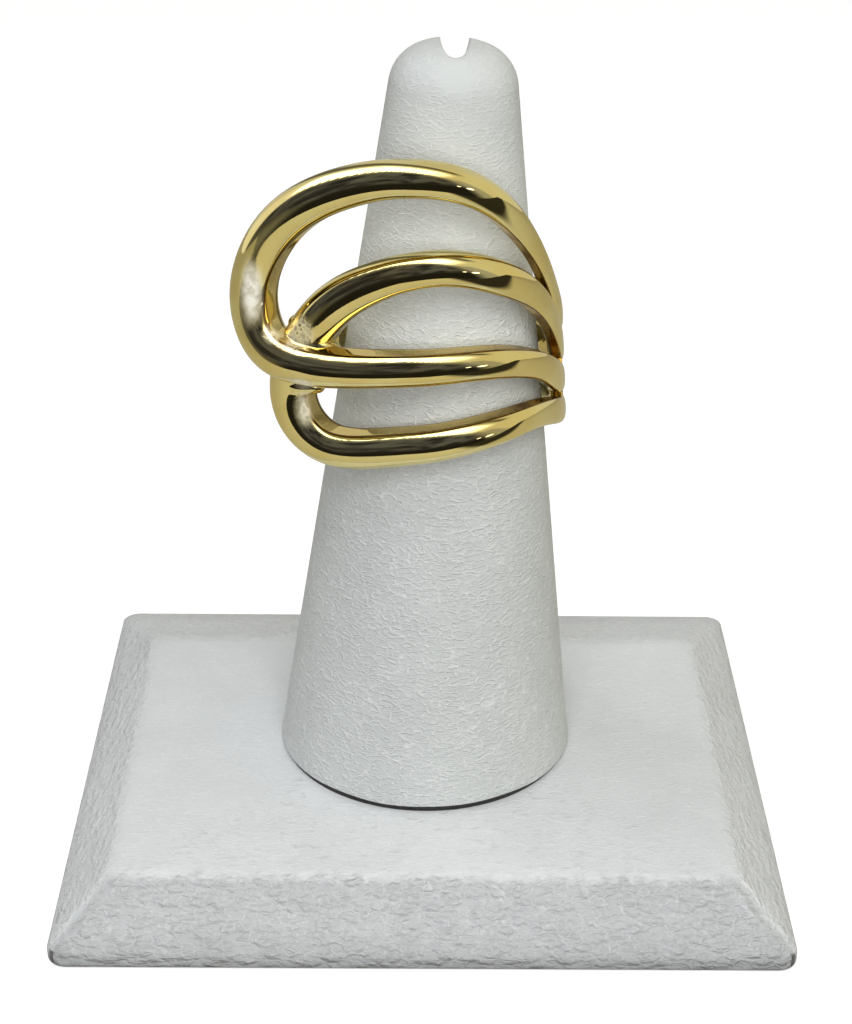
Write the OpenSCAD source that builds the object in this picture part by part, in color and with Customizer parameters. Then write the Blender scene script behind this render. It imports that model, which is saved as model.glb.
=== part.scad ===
// A ring of two interlaced loops of bar, worn on the leaning finger of a covered stand.
// Millimetres, +Z up, +X right, -Y front. The origin is under the middle of the base plate.

/* [Ring] */
// Inner diameter of the ring
ring_bore = 18.2; // [18.1:0.1:18.8]
// Height of the ring's middle above the base plate, along the finger
ring_height = 39; // [38:0.5:42]
// Tilt of the ring on the finger, its right side up when minus
ring_tilt = -5.4; // [-6:0.2:-4]
// Turn from the front at which the loops leave the round of the finger
leave_turn = -15; // [-20:1:-10]
// Radius of the loops' own curve past that turn
open_radius = 40; // [30:1:80]
// Width and depth of every bar, against the tables
bar_gain = 1; // [0.95:0.01:1.05]

/* [Finger] */
// Radius of the finger at its foot
foot_radius = 13.4; // [13:0.1:13.6]
// Radius of the finger just under its rounded tip
tip_radius = 5.3; // [5:0.1:5.4]
// Height of the finger along its own middle
finger_length = 65.6; // [62:0.2:70]
// Lean of the finger to the right
finger_lean = 1.7; // [1.5:0.1:2]
// Radius of the rounding at the tip
tip_round = 3.6; // [2.5:0.1:4]
// Width of the slit that runs back from the middle of the tip
slit_width = 2.4; // [2:0.1:2.8]
// Depth of the slit at the middle of the tip
slit_depth = 1.4; // [1.1:0.1:1.8]
// Fall of the slit's floor towards the back
slit_fall = 20; // [17:1:25]

/* [Base plate] */
// Width of the base plate
base_width = 63.5; // [60:0.5:70]
// Depth of the base plate, front to back
base_depth = 57.5; // [55:0.5:62]
// Height of the upright rim
rim_height = 1.5; // [1:0.1:2.5]
// Rise of the bevel above the rim
bevel_rise = 4.6; // [4:0.1:5]
// Run of the front and side bevels inwards from the rim
bevel_run = 5; // [4:0.1:6]
// Run of the back bevel, which is shallower
back_run = 13; // [8:0.5:14]
// Radius of the upright corners
corner_radius = 1.6; // [1:0.1:3]

/* [Hidden] */

// Where the finger stands on the base plate
finger_x = 0.2;
finger_y = -1;
base_top = rim_height + bevel_rise;
bore_radius = ring_bore / 2;

// The middle line of each loop, laid out flat from its upper right end to its lower right end.
// along: distance round the ring from the front middle, right is plus
// up: height from the ring's middle
// under: gap between the bar and the finger's round
// wide, deep: size of the bar across its face and through it
// square: how square the section is, from 0 for a round to 1 for a square with soft corners
ALONG = 0;
UP = 1;
UNDER = 2;
WIDE = 3;
DEEP = 4;
SQUARE = 5;
big_loop = [
    // along, up, under, wide, deep, square
    [ 21.5,  0.2, 0.0, 1.9, 1.1, 0.6],
    [ 18.0,  1.0, 0.0, 2.3, 1.4, 0.6],
    [ 14.6,  2.2, 0.0, 2.4, 1.4, 0.6],
    [ 12.1,  4.8, 0.0, 2.0, 1.4, 0.7],
    [ 10.0,  8.6, 0.0, 1.8, 1.3, 0.7],
    [  7.2, 12.8, 0.0, 2.1, 1.6, 0.6],
    [  3.4, 17.1, 0.0, 2.8, 2.6, 0.3],
    [ -0.8, 18.9, 0.0, 3.1, 3.2, 0.1],
    [ -5.4, 18.3, 0.0, 3.4, 3.5, 0.0],
    [ -9.6, 16.4, 0.1, 3.7, 3.7, 0.0],
    [-12.9, 13.3, 0.2, 3.9, 3.8, 0.0],
    [-14.8,  9.2, 0.4, 4.0, 3.9, 0.0],
    [-14.4,  5.6, 0.9, 4.1, 3.9, 0.0],
    [-11.9,  3.5, 1.5, 4.0, 3.8, 0.0],
    [ -7.4,  3.0, 1.3, 3.4, 3.5, 0.0],
    [ -2.8,  3.0, 0.7, 3.2, 3.1, 0.0],
    [  1.3,  2.9, 0.2, 3.0, 2.7, 0.1],
    [  5.0,  2.2, 0.0, 2.8, 2.3, 0.3],
    [  8.7,  0.4, 0.0, 2.5, 1.7, 0.5],
    [ 11.5, -1.7, 0.0, 2.6, 1.5, 0.6],
    [ 14.6, -3.4, 0.0, 2.6, 1.4, 0.6],
    [ 18.0, -3.8, 0.0, 2.3, 1.4, 0.6],
    [ 21.5, -3.2, 0.0, 1.9, 1.1, 0.6],
];
small_loop = [
    // along, up, under, wide, deep, square
    [ 21.5, -1.4, 0.0, 1.9, 1.1, 0.6],
    [ 18.0, -1.1, 0.0, 2.3, 1.4, 0.6],
    [ 14.6, -0.7, 0.0, 2.4, 1.4, 0.6],
    [ 11.1,  3.5, 0.0, 2.2, 1.4, 0.7],
    [  8.2,  6.9, 0.0, 2.4, 1.6, 0.6],
    [  4.9,  9.5, 0.0, 2.9, 2.2, 0.4],
    [  0.7, 11.3, 0.0, 3.0, 2.9, 0.1],
    [ -3.6, 10.5, 0.0, 3.3, 3.2, 0.0],
    [ -7.6,  8.2, 0.0, 3.8, 3.5, 0.0],
    [-10.7,  4.5, 0.0, 4.0, 3.7, 0.0],
    [-12.3,  0.6, 0.0, 4.0, 3.7, 0.0],
    [-11.8, -2.8, 0.0, 4.0, 3.7, 0.0],
    [ -9.0, -4.8, 0.0, 3.6, 3.6, 0.0],
    [ -4.6, -4.5, 0.1, 3.4, 3.4, 0.0],
    [ -0.2, -3.8, 0.1, 3.2, 3.1, 0.0],
    [  3.4, -3.4, 0.0, 2.9, 2.7, 0.2],
    [  7.0, -3.5, 0.0, 2.5, 2.0, 0.5],
    [ 10.5, -4.6, 0.0, 2.4, 1.5, 0.6],
    [ 14.6, -6.2, 0.0, 2.4, 1.4, 0.6],
    [ 18.0, -6.0, 0.0, 2.2, 1.4, 0.6],
    [ 21.5, -5.0, 0.0, 1.9, 1.1, 0.6],
];
// The plain shank behind the finger, from the merged bars at the right round to the crossing
shank = [
    // along, up, under, wide, deep, square
    [13.5, -2.1, 0.1, 9.0, 1.1, 0.7],
    [17.5, -2.4, 0.1, 8.8, 1.2, 0.7],
    [20.5, -2.3, 0.0, 7.8, 1.5, 0.7],
    [24.5, -1.8, 0.0, 6.2, 1.6, 0.6],
    [28.5, -1.2, 0.0, 5.4, 1.6, 0.5],
    [32.5, -0.6, 0.0, 5.0, 1.6, 0.5],
    [36.5,  0.0, 0.0, 4.9, 1.7, 0.5],
    [40.5,  0.7, 0.0, 5.0, 2.0, 0.5],
    [43.2,  1.1, 0.2, 5.0, 2.2, 0.5],
    [45.4,  1.4, 0.9, 4.8, 2.5, 0.4],
    [47.3,  1.6, 2.2, 4.4, 2.6, 0.3],
];
// The solder that fills the corners where the loops cross, as two runs of beads
// along, up: place of the bead, as above
// out: distance of its middle from the finger's round
// radius: size of the bead
OUT = 2;
RADIUS = 3;
upper_solder = [
    // along, up, out, radius
    [-11.4, 6.0, 2.0, 0.7],
    [-10.9, 5.2, 2.3, 0.9],
    [-10.1, 4.7, 2.6, 1.0],
    [ -9.2, 4.4, 2.5, 1.0],
    [ -8.4, 4.1, 2.1, 0.8],
];
lower_solder = [
    // along, up, out, radius
    [-13.2, 1.3, 1.9, 0.7],
    [-12.5, 1.0, 2.5, 0.9],
    [-11.5, 0.8, 2.7, 0.9],
    [-10.6, 0.7, 2.5, 0.9],
    [ -9.9, 0.4, 2.0, 0.7],
];

// The walls of the slit from the middle of its floor upwards
// half: half width, as a share of the slit's half width
// rise: height above the floor
HALF = 0;
RISE = 1;
slit_walls = [
    // half, rise
    [0.00, 0.00],
    [0.35, 0.08],
    [0.62, 0.35],
    [0.82, 0.85],
    [1.00, 1.80],
    [1.05, 9.00],
];
shoulder_steps = 8;
foot_sunk = 1;

// The four bevels of the base plate: left, right, front and back
// turn: which way the bevel rises, from +X
// reach: distance of the rim from the middle
// run: run of the bevel inwards
TURN = 0;
REACH = 1;
RUN = 2;
bevels = [
    // turn, reach, run
    [0, base_width / 2, bevel_run],
    [180, base_width / 2, bevel_run],
    [90, base_depth / 2, bevel_run],
    [270, base_depth / 2, back_run],
];

steps_per_row = 5;
bar_sides = 18;
spline_rounds = 8;

// A smooth curve with even curvature that passes through every row of a table
function past(rows, i) =
    i < 0 ? 2 * rows[0] - rows[1] :
    i >= len(rows) ? 2 * rows[len(rows) - 1] - rows[len(rows) - 2] : rows[i];
function settled(rows, poles, rounds) =
    rounds == 0 ? poles :
    settled(rows, [for (i = [0 : len(rows) - 1])
        poles[i] + rows[i] - (past(poles, i - 1) + 4 * poles[i] + past(poles, i + 1)) / 6], rounds - 1);
function blend_of(poles, i, t) =
    (pow(1 - t, 3) * past(poles, i - 1)
    + (3 * pow(t, 3) - 6 * t * t + 4) * past(poles, i)
    + (-3 * pow(t, 3) + 3 * t * t + 3 * t + 1) * past(poles, i + 1)
    + pow(t, 3) * past(poles, i + 2)) / 6;
function smooth_rows(rows, steps) =
    let (poles = settled(rows, rows, spline_rounds))
    [for (k = [0 : (len(rows) - 1) * steps])
        let (i = min(floor(k / steps), len(rows) - 2)) blend_of(poles, i, k / steps - i)];

// The round of the finger, carried on past leave_turn with the loops' own wider curve
leave_along = bore_radius * leave_turn * PI / 180;
function facing(along) =
    along >= leave_along ? along / bore_radius * 180 / PI
    : leave_turn + (along - leave_along) / open_radius * 180 / PI;
function outward(turn) = [sin(turn), -cos(turn), 0];
function laid(along, up, out) =
    let (turn = facing(along))
    along >= leave_along ? outward(turn) * (bore_radius + out) + [0, 0, up]
    : outward(leave_turn) * (bore_radius - open_radius) + outward(turn) * (open_radius + out) + [0, 0, up];

// One section of bar, a round whose sides flatten as it gets square
flattening = 0.45;
function soft(value, square) = sign(value) * pow(abs(value), 1 - flattening * square);
function bar_section(middle, side, out, row) =
    [for (j = [0 : bar_sides - 1])
        let (a = 360 * (j + 0.5) / bar_sides)
        middle + side * soft(cos(a), row[SQUARE]) * row[WIDE] * bar_gain / 2
        + out * soft(sin(a), row[SQUARE]) * row[DEEP] * bar_gain / 2];
function unit(v) = v / norm(v);

module bar(table) {
    rows = smooth_rows(table, steps_per_row);
    last = len(rows) - 1;
    line = [for (row = rows) laid(row[ALONG], row[UP], row[UNDER] + row[DEEP] / 2)];
    points = [for (i = [0 : last])
        let (
            ahead = unit(line[min(i + 1, last)] - line[max(i - 1, 0)]),
            side = unit(cross(ahead, outward(facing(rows[i][ALONG])))),
            out = cross(side, ahead)
        )
        each bar_section(line[i], side, out, rows[i])];
    walls = [for (i = [0 : last - 1], j = [0 : bar_sides - 1])
        let (
            a = i * bar_sides + j,
            b = i * bar_sides + (j + 1) % bar_sides
        )
        each [[a, b, b + bar_sides], [a, b + bar_sides, a + bar_sides]]];
    near_cap = [for (j = [bar_sides - 1 : -1 : 0]) j];
    far_cap = [for (j = [0 : bar_sides - 1]) last * bar_sides + j];
    polyhedron(points, concat([near_cap, far_cap], walls), convexity = 10);
}

module solder_run(beads) {
    for (i = [0 : len(beads) - 2])
        hull()
            for (bead = [beads[i], beads[i + 1]])
                translate(laid(bead[ALONG], bead[UP], bead[OUT]))
                    sphere(bead[RADIUS], $fn = 16);
}

// Everything that leans with the finger, from its foot on the base plate
module on_finger() {
    translate([finger_x, finger_y, base_top])
        rotate([0, finger_lean, 0])
            children();
}

module ring() {
    color("gold")
        on_finger()
            translate([0, 0, ring_height])
                rotate([0, ring_tilt, 0]) {
                    bar(big_loop);
                    bar(small_loop);
                    bar(shank);
                    solder_run(upper_solder);
                    solder_run(lower_solder);
                }
}

// Half outline of the finger: a straight taper, a rounded shoulder and a flat tip.
// It starts below its foot, so that the lean leaves no gap at the base plate.
module finger_outline() {
    taper = atan((foot_radius - tip_radius) / (finger_length - tip_round));
    flat_radius = tip_radius - tip_round * cos(taper);
    shoulder = [for (k = [0 : shoulder_steps])
        let (a = taper + (90 - taper) * k / shoulder_steps)
        [flat_radius + tip_round * cos(a), finger_length - tip_round * (1 - sin(a))]];
    polygon(concat([[0, -foot_sunk], [foot_radius, -foot_sunk], [foot_radius, 0]],
        shoulder, [[0, finger_length]]));
}

// The slit's round-bottomed wedge, from the middle of its floor, falling towards the back
module slit_cut() {
    right_side = [for (row = slit_walls) [row[HALF] * slit_width / 2, row[RISE]]];
    left_side = [for (k = [len(right_side) - 1 : -1 : 0]) [-right_side[k][0], right_side[k][1]]];
    translate([0, 0, finger_length - slit_depth])
        rotate([90 - slit_fall, 0, 0])
            linear_extrude(4 * tip_radius, center = true)
                polygon(concat(right_side, left_side));
}

module finger_cone() {
    color("whitesmoke")
        difference() {
            on_finger()
                difference() {
                    rotate_extrude($fn = 96)
                        finger_outline();
                    slit_cut();
                }
            translate([-base_width / 2, -base_depth / 2, 0])
                cube([base_width, base_depth, base_top]);
        }
}

// A flat board with round upright corners
module rounded_board(width, depth, height, radius) {
    linear_extrude(height)
        union() {
            square([width - 2 * radius, depth], center = true);
            square([width, depth - 2 * radius], center = true);
            for (x = [-1, 1], y = [-1, 1])
                translate([x * (width / 2 - radius), y * (depth / 2 - radius)])
                    circle(radius, $fn = 32);
        }
}

// The space above a bevel that rises along +X, from the rim's top edge at its origin
module bevel_cut(run) {
    rotate([0, -atan(bevel_rise / run), 0])
        translate([-base_width, -base_width, 0])
            cube([2 * base_width, 2 * base_width, 2 * base_top]);
}

module base_plate() {
    color("white")
        difference() {
            rounded_board(base_width, base_depth, base_top, corner_radius);
            for (bevel = bevels)
                rotate([0, 0, bevel[TURN]])
                    translate([-bevel[REACH], 0, rim_height])
                        bevel_cut(bevel[RUN]);
        }
}

ring();
finger_cone();
base_plate();
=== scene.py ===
import math

import bmesh
import bpy
import numpy as np
from mathutils import Matrix, Vector


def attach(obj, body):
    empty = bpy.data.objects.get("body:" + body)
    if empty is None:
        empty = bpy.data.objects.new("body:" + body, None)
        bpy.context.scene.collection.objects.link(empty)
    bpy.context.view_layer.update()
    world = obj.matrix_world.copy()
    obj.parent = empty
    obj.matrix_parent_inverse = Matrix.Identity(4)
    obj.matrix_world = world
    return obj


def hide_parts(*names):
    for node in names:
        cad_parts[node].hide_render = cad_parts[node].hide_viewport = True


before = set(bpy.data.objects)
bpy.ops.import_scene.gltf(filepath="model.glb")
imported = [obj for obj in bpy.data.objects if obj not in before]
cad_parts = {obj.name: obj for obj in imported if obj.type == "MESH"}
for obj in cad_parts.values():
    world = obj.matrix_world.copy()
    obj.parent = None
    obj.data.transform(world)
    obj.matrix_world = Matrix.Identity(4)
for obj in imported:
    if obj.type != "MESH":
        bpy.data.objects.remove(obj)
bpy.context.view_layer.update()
mm = 0.001

# Where the finger stands on the base plate, and how far it leans to the right, in degrees
stance = {"foot": (0.2, -1.0, 6.1), "lean": 1.7}

noiseRange = (0.3, 0.7)  # nearly all values of a noise lie in it


# Helpers: nodes

def put(tree, kind, sockets=None, **settings):
    node = tree.nodes.new(kind)
    for key, value in settings.items():
        setattr(node, key, value)
    for key, value in (sockets or {}).items():
        if isinstance(value, bpy.types.NodeSocket):
            tree.links.new(value, node.inputs[key])
        else:
            node.inputs[key].default_value = value
    return node


def treeOf(*values):
    # the node tree of the first socket among the values
    return next(value.id_data for value in values if isinstance(value, bpy.types.NodeSocket))


def maths(operation, a, b=0.0):
    return put(treeOf(a, b), "ShaderNodeMath", {0: a, 1: b}, operation=operation).outputs[0]


def plus(a, b):
    return maths("ADD", a, b)


def minus(a, b):
    return maths("SUBTRACT", a, b)


def times(product, *others):
    for value in others:
        product = maths("MULTIPLY", product, value)
    return product


def spared(mask, loss=1.0):
    # 1 where the mask is 0, and less by the loss where it is 1
    return minus(1.0, times(mask, loss))


def vectorMaths(operation, a, b=(0.0, 0.0, 0.0), part=0):
    return put(treeOf(a, b), "ShaderNodeVectorMath", {0: a, 1: b}, operation=operation).outputs[part]


def measured(operation, a, b=(0.0, 0.0, 0.0)):
    # a length, a distance or a dot product
    return vectorMaths(operation, a, b, "Value")


def scaled(vector, factor):
    return put(vector.id_data, "ShaderNodeVectorMath", {0: vector, 3: factor}, operation="SCALE").outputs[0]


def axesOf(vector):
    return put(vector.id_data, "ShaderNodeSeparateXYZ", {0: vector}).outputs[:3]


def spread(value, low, high, start=0.0, end=1.0, kind="SMOOTHSTEP"):
    return put(value.id_data, "ShaderNodeMapRange", {0: value, 1: low, 2: high, 3: start, 4: end},
               interpolation_type=kind).outputs[0]


def fade(value, band, start=0.0, end=1.0):
    # from the start at the band's first place to the end at its second, in millimetres
    return spread(value, *metres(band), start, end)


def noise(place, scale, detail, part=0):
    return put(place.id_data, "ShaderNodeTexNoise",
               {"Vector": place, "Scale": scale, "Detail": detail}).outputs[part]


def warped(moved, place, scale, detail, reach):
    # moves a vector by up to half the reach, in millimetres, by noise read at the place
    centred = vectorMaths("SUBTRACT", noise(place, scale, detail, "Color"), (0.5, 0.5, 0.5))
    return vectorMaths("ADD", moved, scaled(centred, reach * mm))


def mixed(factor, a, b, blend="MIX"):
    return put(treeOf(factor, a, b), "ShaderNodeMix", {0: factor, 6: a, 7: b},
               data_type="RGBA", blend_type=blend).outputs[2]


def toned(tone, shade):
    grey = put(shade.id_data, "ShaderNodeCombineColor", {0: shade, 1: shade, 2: shade}).outputs[0]
    return mixed(1.0, tone, grey, "MULTIPLY")


def grouped(name, kind, inputs, outputs):
    # inputs and outputs: pairs of a label and a kind of socket
    tree = bpy.data.node_groups.new(name, kind)
    for way, sockets in (("INPUT", inputs), ("OUTPUT", outputs)):
        for label, socketKind in sockets:
            tree.interface.new_socket(label, in_out=way, socket_type="NodeSocket" + socketKind)
    return tree, tree.nodes.new("NodeGroupInput").outputs, tree.nodes.new("NodeGroupOutput").inputs


def newMaterial(name):
    material = bpy.data.materials.new(name)
    material.use_nodes = True
    tree = material.node_tree
    place = put(tree, "ShaderNodeTexCoord").outputs["Object"]
    return material, tree, tree.nodes["Principled BSDF"].inputs, place


def dressed(tree, surface, tone, roughness, raised, look):
    bump = put(tree, "ShaderNodeBump", {"Height": raised, "Distance": look["relief"] * mm,
                                        "Strength": look["reliefShare"]})
    tree.links.new(tone, surface["Base Color"])
    tree.links.new(roughness, surface["Roughness"])
    tree.links.new(bump.outputs[0], surface["Normal"])


def rgb(values):
    # from screen values, 0 to 255, to linear ones
    def linear(v):
        v = v / 255
        return v / 12.92 if v <= 0.04045 else ((v + 0.055) / 1.055) ** 2.4
    return (*(linear(v) for v in values), 1.0)


def metres(values):
    return tuple(v * mm for v in values)


# Helpers: meshes

def newObject(name, mesh):
    piece = bpy.data.objects.new(name, mesh)
    bpy.context.scene.collection.objects.link(piece)
    return piece


def settleMesh(piece):
    # takes the modifiers into a plain mesh
    mesh = bpy.data.meshes.new_from_object(piece.evaluated_get(bpy.context.evaluated_depsgraph_get()))
    piece.modifiers.clear()
    old = piece.data
    piece.data = mesh
    bpy.data.meshes.remove(old)
    return piece


def pointsOf(mesh):
    points = np.empty(len(mesh.vertices) * 3)
    mesh.vertices.foreach_get("co", points)
    return points.reshape(-1, 3) / mm


def facesOutwards(piece):
    # turns every face outwards by the sign of the volume
    mesh = piece.data
    mesh.calc_loop_triangles()
    points = pointsOf(mesh)
    corners = np.empty(len(mesh.loop_triangles) * 3, dtype=np.int64)
    mesh.loop_triangles.foreach_get("vertices", corners)
    a, b, c = (points[corners.reshape(-1, 3)[:, k]] for k in range(3))
    if np.einsum("ij,ij->i", a, np.cross(b, c)).sum() < 0:
        mesh.flip_normals()
    return piece


def gridPiece(name, rows, finish):
    # rows: an array of rings of points, first and last closed with a pole
    count, sides = rows.shape[:2]
    points = np.vstack([rows.reshape(-1, 3), rows[0].mean(axis=0), rows[-1].mean(axis=0)])
    faces = []
    for i in range(count - 1):
        for j in range(sides):
            k = (j + 1) % sides
            faces.append((i * sides + j, i * sides + k, (i + 1) * sides + k, (i + 1) * sides + j))
    last = (count - 1) * sides
    for j in range(sides):
        k = (j + 1) % sides
        faces.append((k, j, count * sides))
        faces.append((last + j, last + k, count * sides + 1))
    mesh = bpy.data.meshes.new(name)
    mesh.from_pydata((points * mm).tolist(), [], faces)
    mesh.polygons.foreach_set("use_smooth", [True] * len(mesh.polygons))
    mesh.update()
    mesh.materials.append(finish)
    return facesOutwards(newObject(name, mesh))


def unit(vectors):
    return vectors / np.linalg.norm(vectors, axis=-1, keepdims=True)


def turnedY(points, degrees):
    a = math.radians(degrees)
    x, y, z = points[..., 0], points[..., 1], points[..., 2]
    return np.stack([x * math.cos(a) + z * math.sin(a), y, -x * math.sin(a) + z * math.cos(a)], axis=-1)


def onFinger(points):
    return turnedY(points, stance["lean"]) + np.array(stance["foot"])


# Ring: three swept bars and the solder where the loops cross

ringSettings = {
    "bore": 9.1, "height": 39.0, "tilt": -5.4, "leaveTurn": -15.0, "openRadius": 40.0,
    "stepsPerRow": 14, "splineRounds": 8, "sides": 56, "flattening": 0.45, "sharpAngle": 38.0,
    # distances within which the mesh's points are merged: along a bar, and after the union
    "sewn": 0.002, "sliver": 0.004,
    # the flat wall towards a loop's own opening: degrees from the far side, and share of the full reach
    "wallTurn": 174.0, "wallReach": 0.92,
    # the solder's round ends: rows, and share of the end bead's radius
    "capRows": 7, "capReach": 0.999,
    # the molten joint: places, full and faded distance, rounds of softening and how far each one goes
    "jointPlaces": [(-10.6, -10.0, 50.0), (-10.5, -11.0, 45.8), (-12.2, -10.0, 49.6)],
    "jointFull": 1.0, "jointFaded": 2.0, "jointRounds": 16, "jointShare": 0.5,
}

# along, up, under, wide, deep, square
bigLoop = [
    (21.5, 0.2, 0.0, 1.9, 1.1, 0.6),
    (18.0, 1.0, 0.0, 2.3, 1.4, 0.6),
    (14.6, 2.2, 0.0, 2.4, 1.4, 0.6),
    (12.1, 4.8, 0.0, 2.0, 1.4, 0.7),
    (10.0, 8.6, 0.0, 1.8, 1.3, 0.7),
    (7.2, 12.8, 0.0, 2.1, 1.6, 0.6),
    (3.4, 17.1, 0.0, 2.8, 2.6, 0.3),
    (-0.8, 18.9, 0.0, 3.1, 3.2, 0.1),
    (-5.4, 18.3, 0.0, 3.4, 3.5, 0.0),
    (-9.6, 16.4, 0.1, 3.7, 3.7, 0.0),
    (-12.9, 13.3, 0.2, 3.9, 3.8, 0.0),
    (-14.8, 9.2, 0.4, 4.0, 3.9, 0.0),
    (-14.4, 5.6, 0.9, 4.1, 3.9, 0.0),
    (-11.9, 3.5, 1.5, 4.0, 3.8, 0.0),
    (-7.4, 3.0, 1.3, 3.4, 3.5, 0.0),
    (-2.8, 3.0, 0.7, 3.2, 3.1, 0.0),
    (1.3, 2.9, 0.2, 3.0, 2.7, 0.1),
    (5.0, 2.2, 0.0, 2.8, 2.3, 0.3),
    (8.7, 0.4, 0.0, 2.5, 1.7, 0.5),
    (11.5, -1.7, 0.0, 2.6, 1.5, 0.6),
    (14.6, -3.4, 0.0, 2.6, 1.4, 0.6),
    (18.0, -3.8, 0.0, 2.3, 1.4, 0.6),
    (21.5, -3.2, 0.0, 1.9, 1.1, 0.6),
]
smallLoop = [
    (21.5, -1.4, 0.0, 1.9, 1.1, 0.6),
    (18.0, -1.1, 0.0, 2.3, 1.4, 0.6),
    (14.6, -0.7, 0.0, 2.4, 1.4, 0.6),
    (11.1, 3.5, 0.0, 2.2, 1.4, 0.7),
    (8.2, 6.9, 0.0, 2.4, 1.6, 0.6),
    (4.9, 9.5, 0.0, 2.9, 2.2, 0.4),
    (0.7, 11.3, 0.0, 3.0, 2.9, 0.1),
    (-3.6, 10.5, 0.0, 3.3, 3.2, 0.0),
    (-7.6, 8.2, 0.0, 3.8, 3.5, 0.0),
    (-10.7, 4.5, 0.0, 4.0, 3.7, 0.0),
    (-12.3, 0.6, 0.0, 4.0, 3.7, 0.0),
    (-11.8, -2.8, 0.0, 4.0, 3.7, 0.0),
    (-9.0, -4.8, 0.0, 3.6, 3.6, 0.0),
    (-4.6, -4.5, 0.1, 3.4, 3.4, 0.0),
    (-0.2, -3.8, 0.1, 3.2, 3.1, 0.0),
    (3.4, -3.4, 0.0, 2.9, 2.7, 0.2),
    (7.0, -3.5, 0.0, 2.5, 2.0, 0.5),
    (10.5, -4.6, 0.0, 2.4, 1.5, 0.6),
    (14.6, -6.2, 0.0, 2.4, 1.4, 0.6),
    (18.0, -6.0, 0.0, 2.2, 1.4, 0.6),
    (21.5, -5.0, 0.0, 1.9, 1.1, 0.6),
]
shank = [
    (13.5, -2.1, 0.1, 9.0, 1.1, 0.7),
    (17.5, -2.4, 0.1, 8.8, 1.2, 0.7),
    (20.5, -2.3, 0.0, 7.8, 1.5, 0.7),
    (24.5, -1.8, 0.0, 6.2, 1.6, 0.6),
    (28.5, -1.2, 0.0, 5.4, 1.6, 0.5),
    (32.5, -0.6, 0.0, 5.0, 1.6, 0.5),
    (36.5, 0.0, 0.0, 4.9, 1.7, 0.5),
    (40.5, 0.7, 0.0, 5.0, 2.0, 0.5),
    (43.2, 1.1, 0.2, 5.0, 2.2, 0.5),
    (45.4, 1.4, 0.9, 4.8, 2.5, 0.4),
    (47.3, 1.6, 2.2, 4.4, 2.6, 0.3),
]

# along, up, out, radius
upperSolder = [
    (-11.4, 6.0, 2.0, 0.7),
    (-10.9, 5.2, 2.3, 0.9),
    (-10.1, 4.7, 2.6, 1.0),
    (-9.2, 4.4, 2.5, 1.0),
    (-8.4, 4.1, 2.1, 0.8),
]
lowerSolder = [
    (-13.2, 1.3, 1.9, 0.7),
    (-12.5, 1.0, 2.5, 0.9),
    (-11.5, 0.8, 2.7, 0.9),
    (-10.6, 0.7, 2.4, 0.8),
    (-10.0, 0.5, 1.9, 0.6),
]


def smoothRows(table):
    # an even curve through every row of the table, as one array for each column
    rows, steps = np.array(table), ringSettings["stepsPerRow"]

    def widened(poles):
        return np.vstack([2 * poles[0] - poles[1], poles, 2 * poles[-1] - poles[-2]])

    poles = rows.copy()
    for _ in range(ringSettings["splineRounds"]):
        wide = widened(poles)
        poles = poles + rows - (wide[:-2] + 4 * poles + wide[2:]) / 6
    wide = widened(widened(poles))
    found = []
    for k in range((len(rows) - 1) * steps + 1):
        i = min(k // steps, len(rows) - 2)
        t = k / steps - i
        a, b, c, d = wide[i + 1:i + 5]
        found.append(((1 - t) ** 3 * a + (3 * t ** 3 - 6 * t * t + 4) * b
                      + (-3 * t ** 3 + 3 * t * t + 3 * t + 1) * c + t ** 3 * d) / 6)
    return np.array(found).T


def facing(along):
    # the turn round the finger, in radians, at a distance along it
    leaveTurn = math.radians(ringSettings["leaveTurn"])
    leaveAlong = ringSettings["bore"] * leaveTurn
    return np.where(along >= leaveAlong, along / ringSettings["bore"],
                    leaveTurn + (along - leaveAlong) / ringSettings["openRadius"])


def outwardOf(turn):
    return np.stack([np.sin(turn), -np.cos(turn), np.zeros_like(turn)], axis=-1)


def laid(along, up, out):
    # round the bore as far as the leaving turn, and then on a wider round
    turn = facing(along)
    leaveTurn = math.radians(ringSettings["leaveTurn"])
    bore, openRadius = ringSettings["bore"], ringSettings["openRadius"]
    near = outwardOf(turn) * (bore + out)[..., None]
    far = (outwardOf(np.array(leaveTurn)) * (bore - openRadius)
           + outwardOf(turn) * (openRadius + out)[..., None])
    place = np.where((along >= bore * leaveTurn)[..., None], near, far)
    place[..., 2] += up
    return place


def ringPlaced(points):
    tilted = turnedY(points, ringSettings["tilt"])
    tilted[..., 2] += ringSettings["height"]
    return onFinger(tilted)


def barPath(name, middles, outwards, wide, deep, square, inner):
    # a line of points that carries the bar's own frame and size at each row
    ahead = unit(np.vstack([middles[1:], middles[-1:]]) - np.vstack([middles[:1], middles[:-1]]))
    side = unit(np.cross(ahead, outwards))
    out = np.cross(side, ahead)
    middles = ringPlaced(middles)
    origin = ringPlaced(np.zeros(3))
    side, out = ringPlaced(side) - origin, ringPlaced(out) - origin
    # the first and last row come twice, once with no size, to close the ends
    order = [0, *range(len(middles)), len(middles) - 1]
    ends = np.ones(len(order))
    ends[0] = ends[-1] = 0
    mesh = bpy.data.meshes.new(name)
    mesh.from_pydata((middles[order] * mm).tolist(), [(i, i + 1) for i in range(len(order) - 1)], [])
    for label, values in (("side", side), ("out", out)):
        mesh.attributes.new(label, "FLOAT_VECTOR", "POINT").data.foreach_set("vector", values[order].ravel())
    for label, values in (("wide", wide[order] * mm * ends), ("deep", deep[order] * mm * ends),
                          ("square", square[order]), ("inner", np.full(len(order), inner))):
        mesh.attributes.new(label, "FLOAT", "POINT").data.foreach_set("value", values)
    return newObject(name, mesh)


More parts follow.
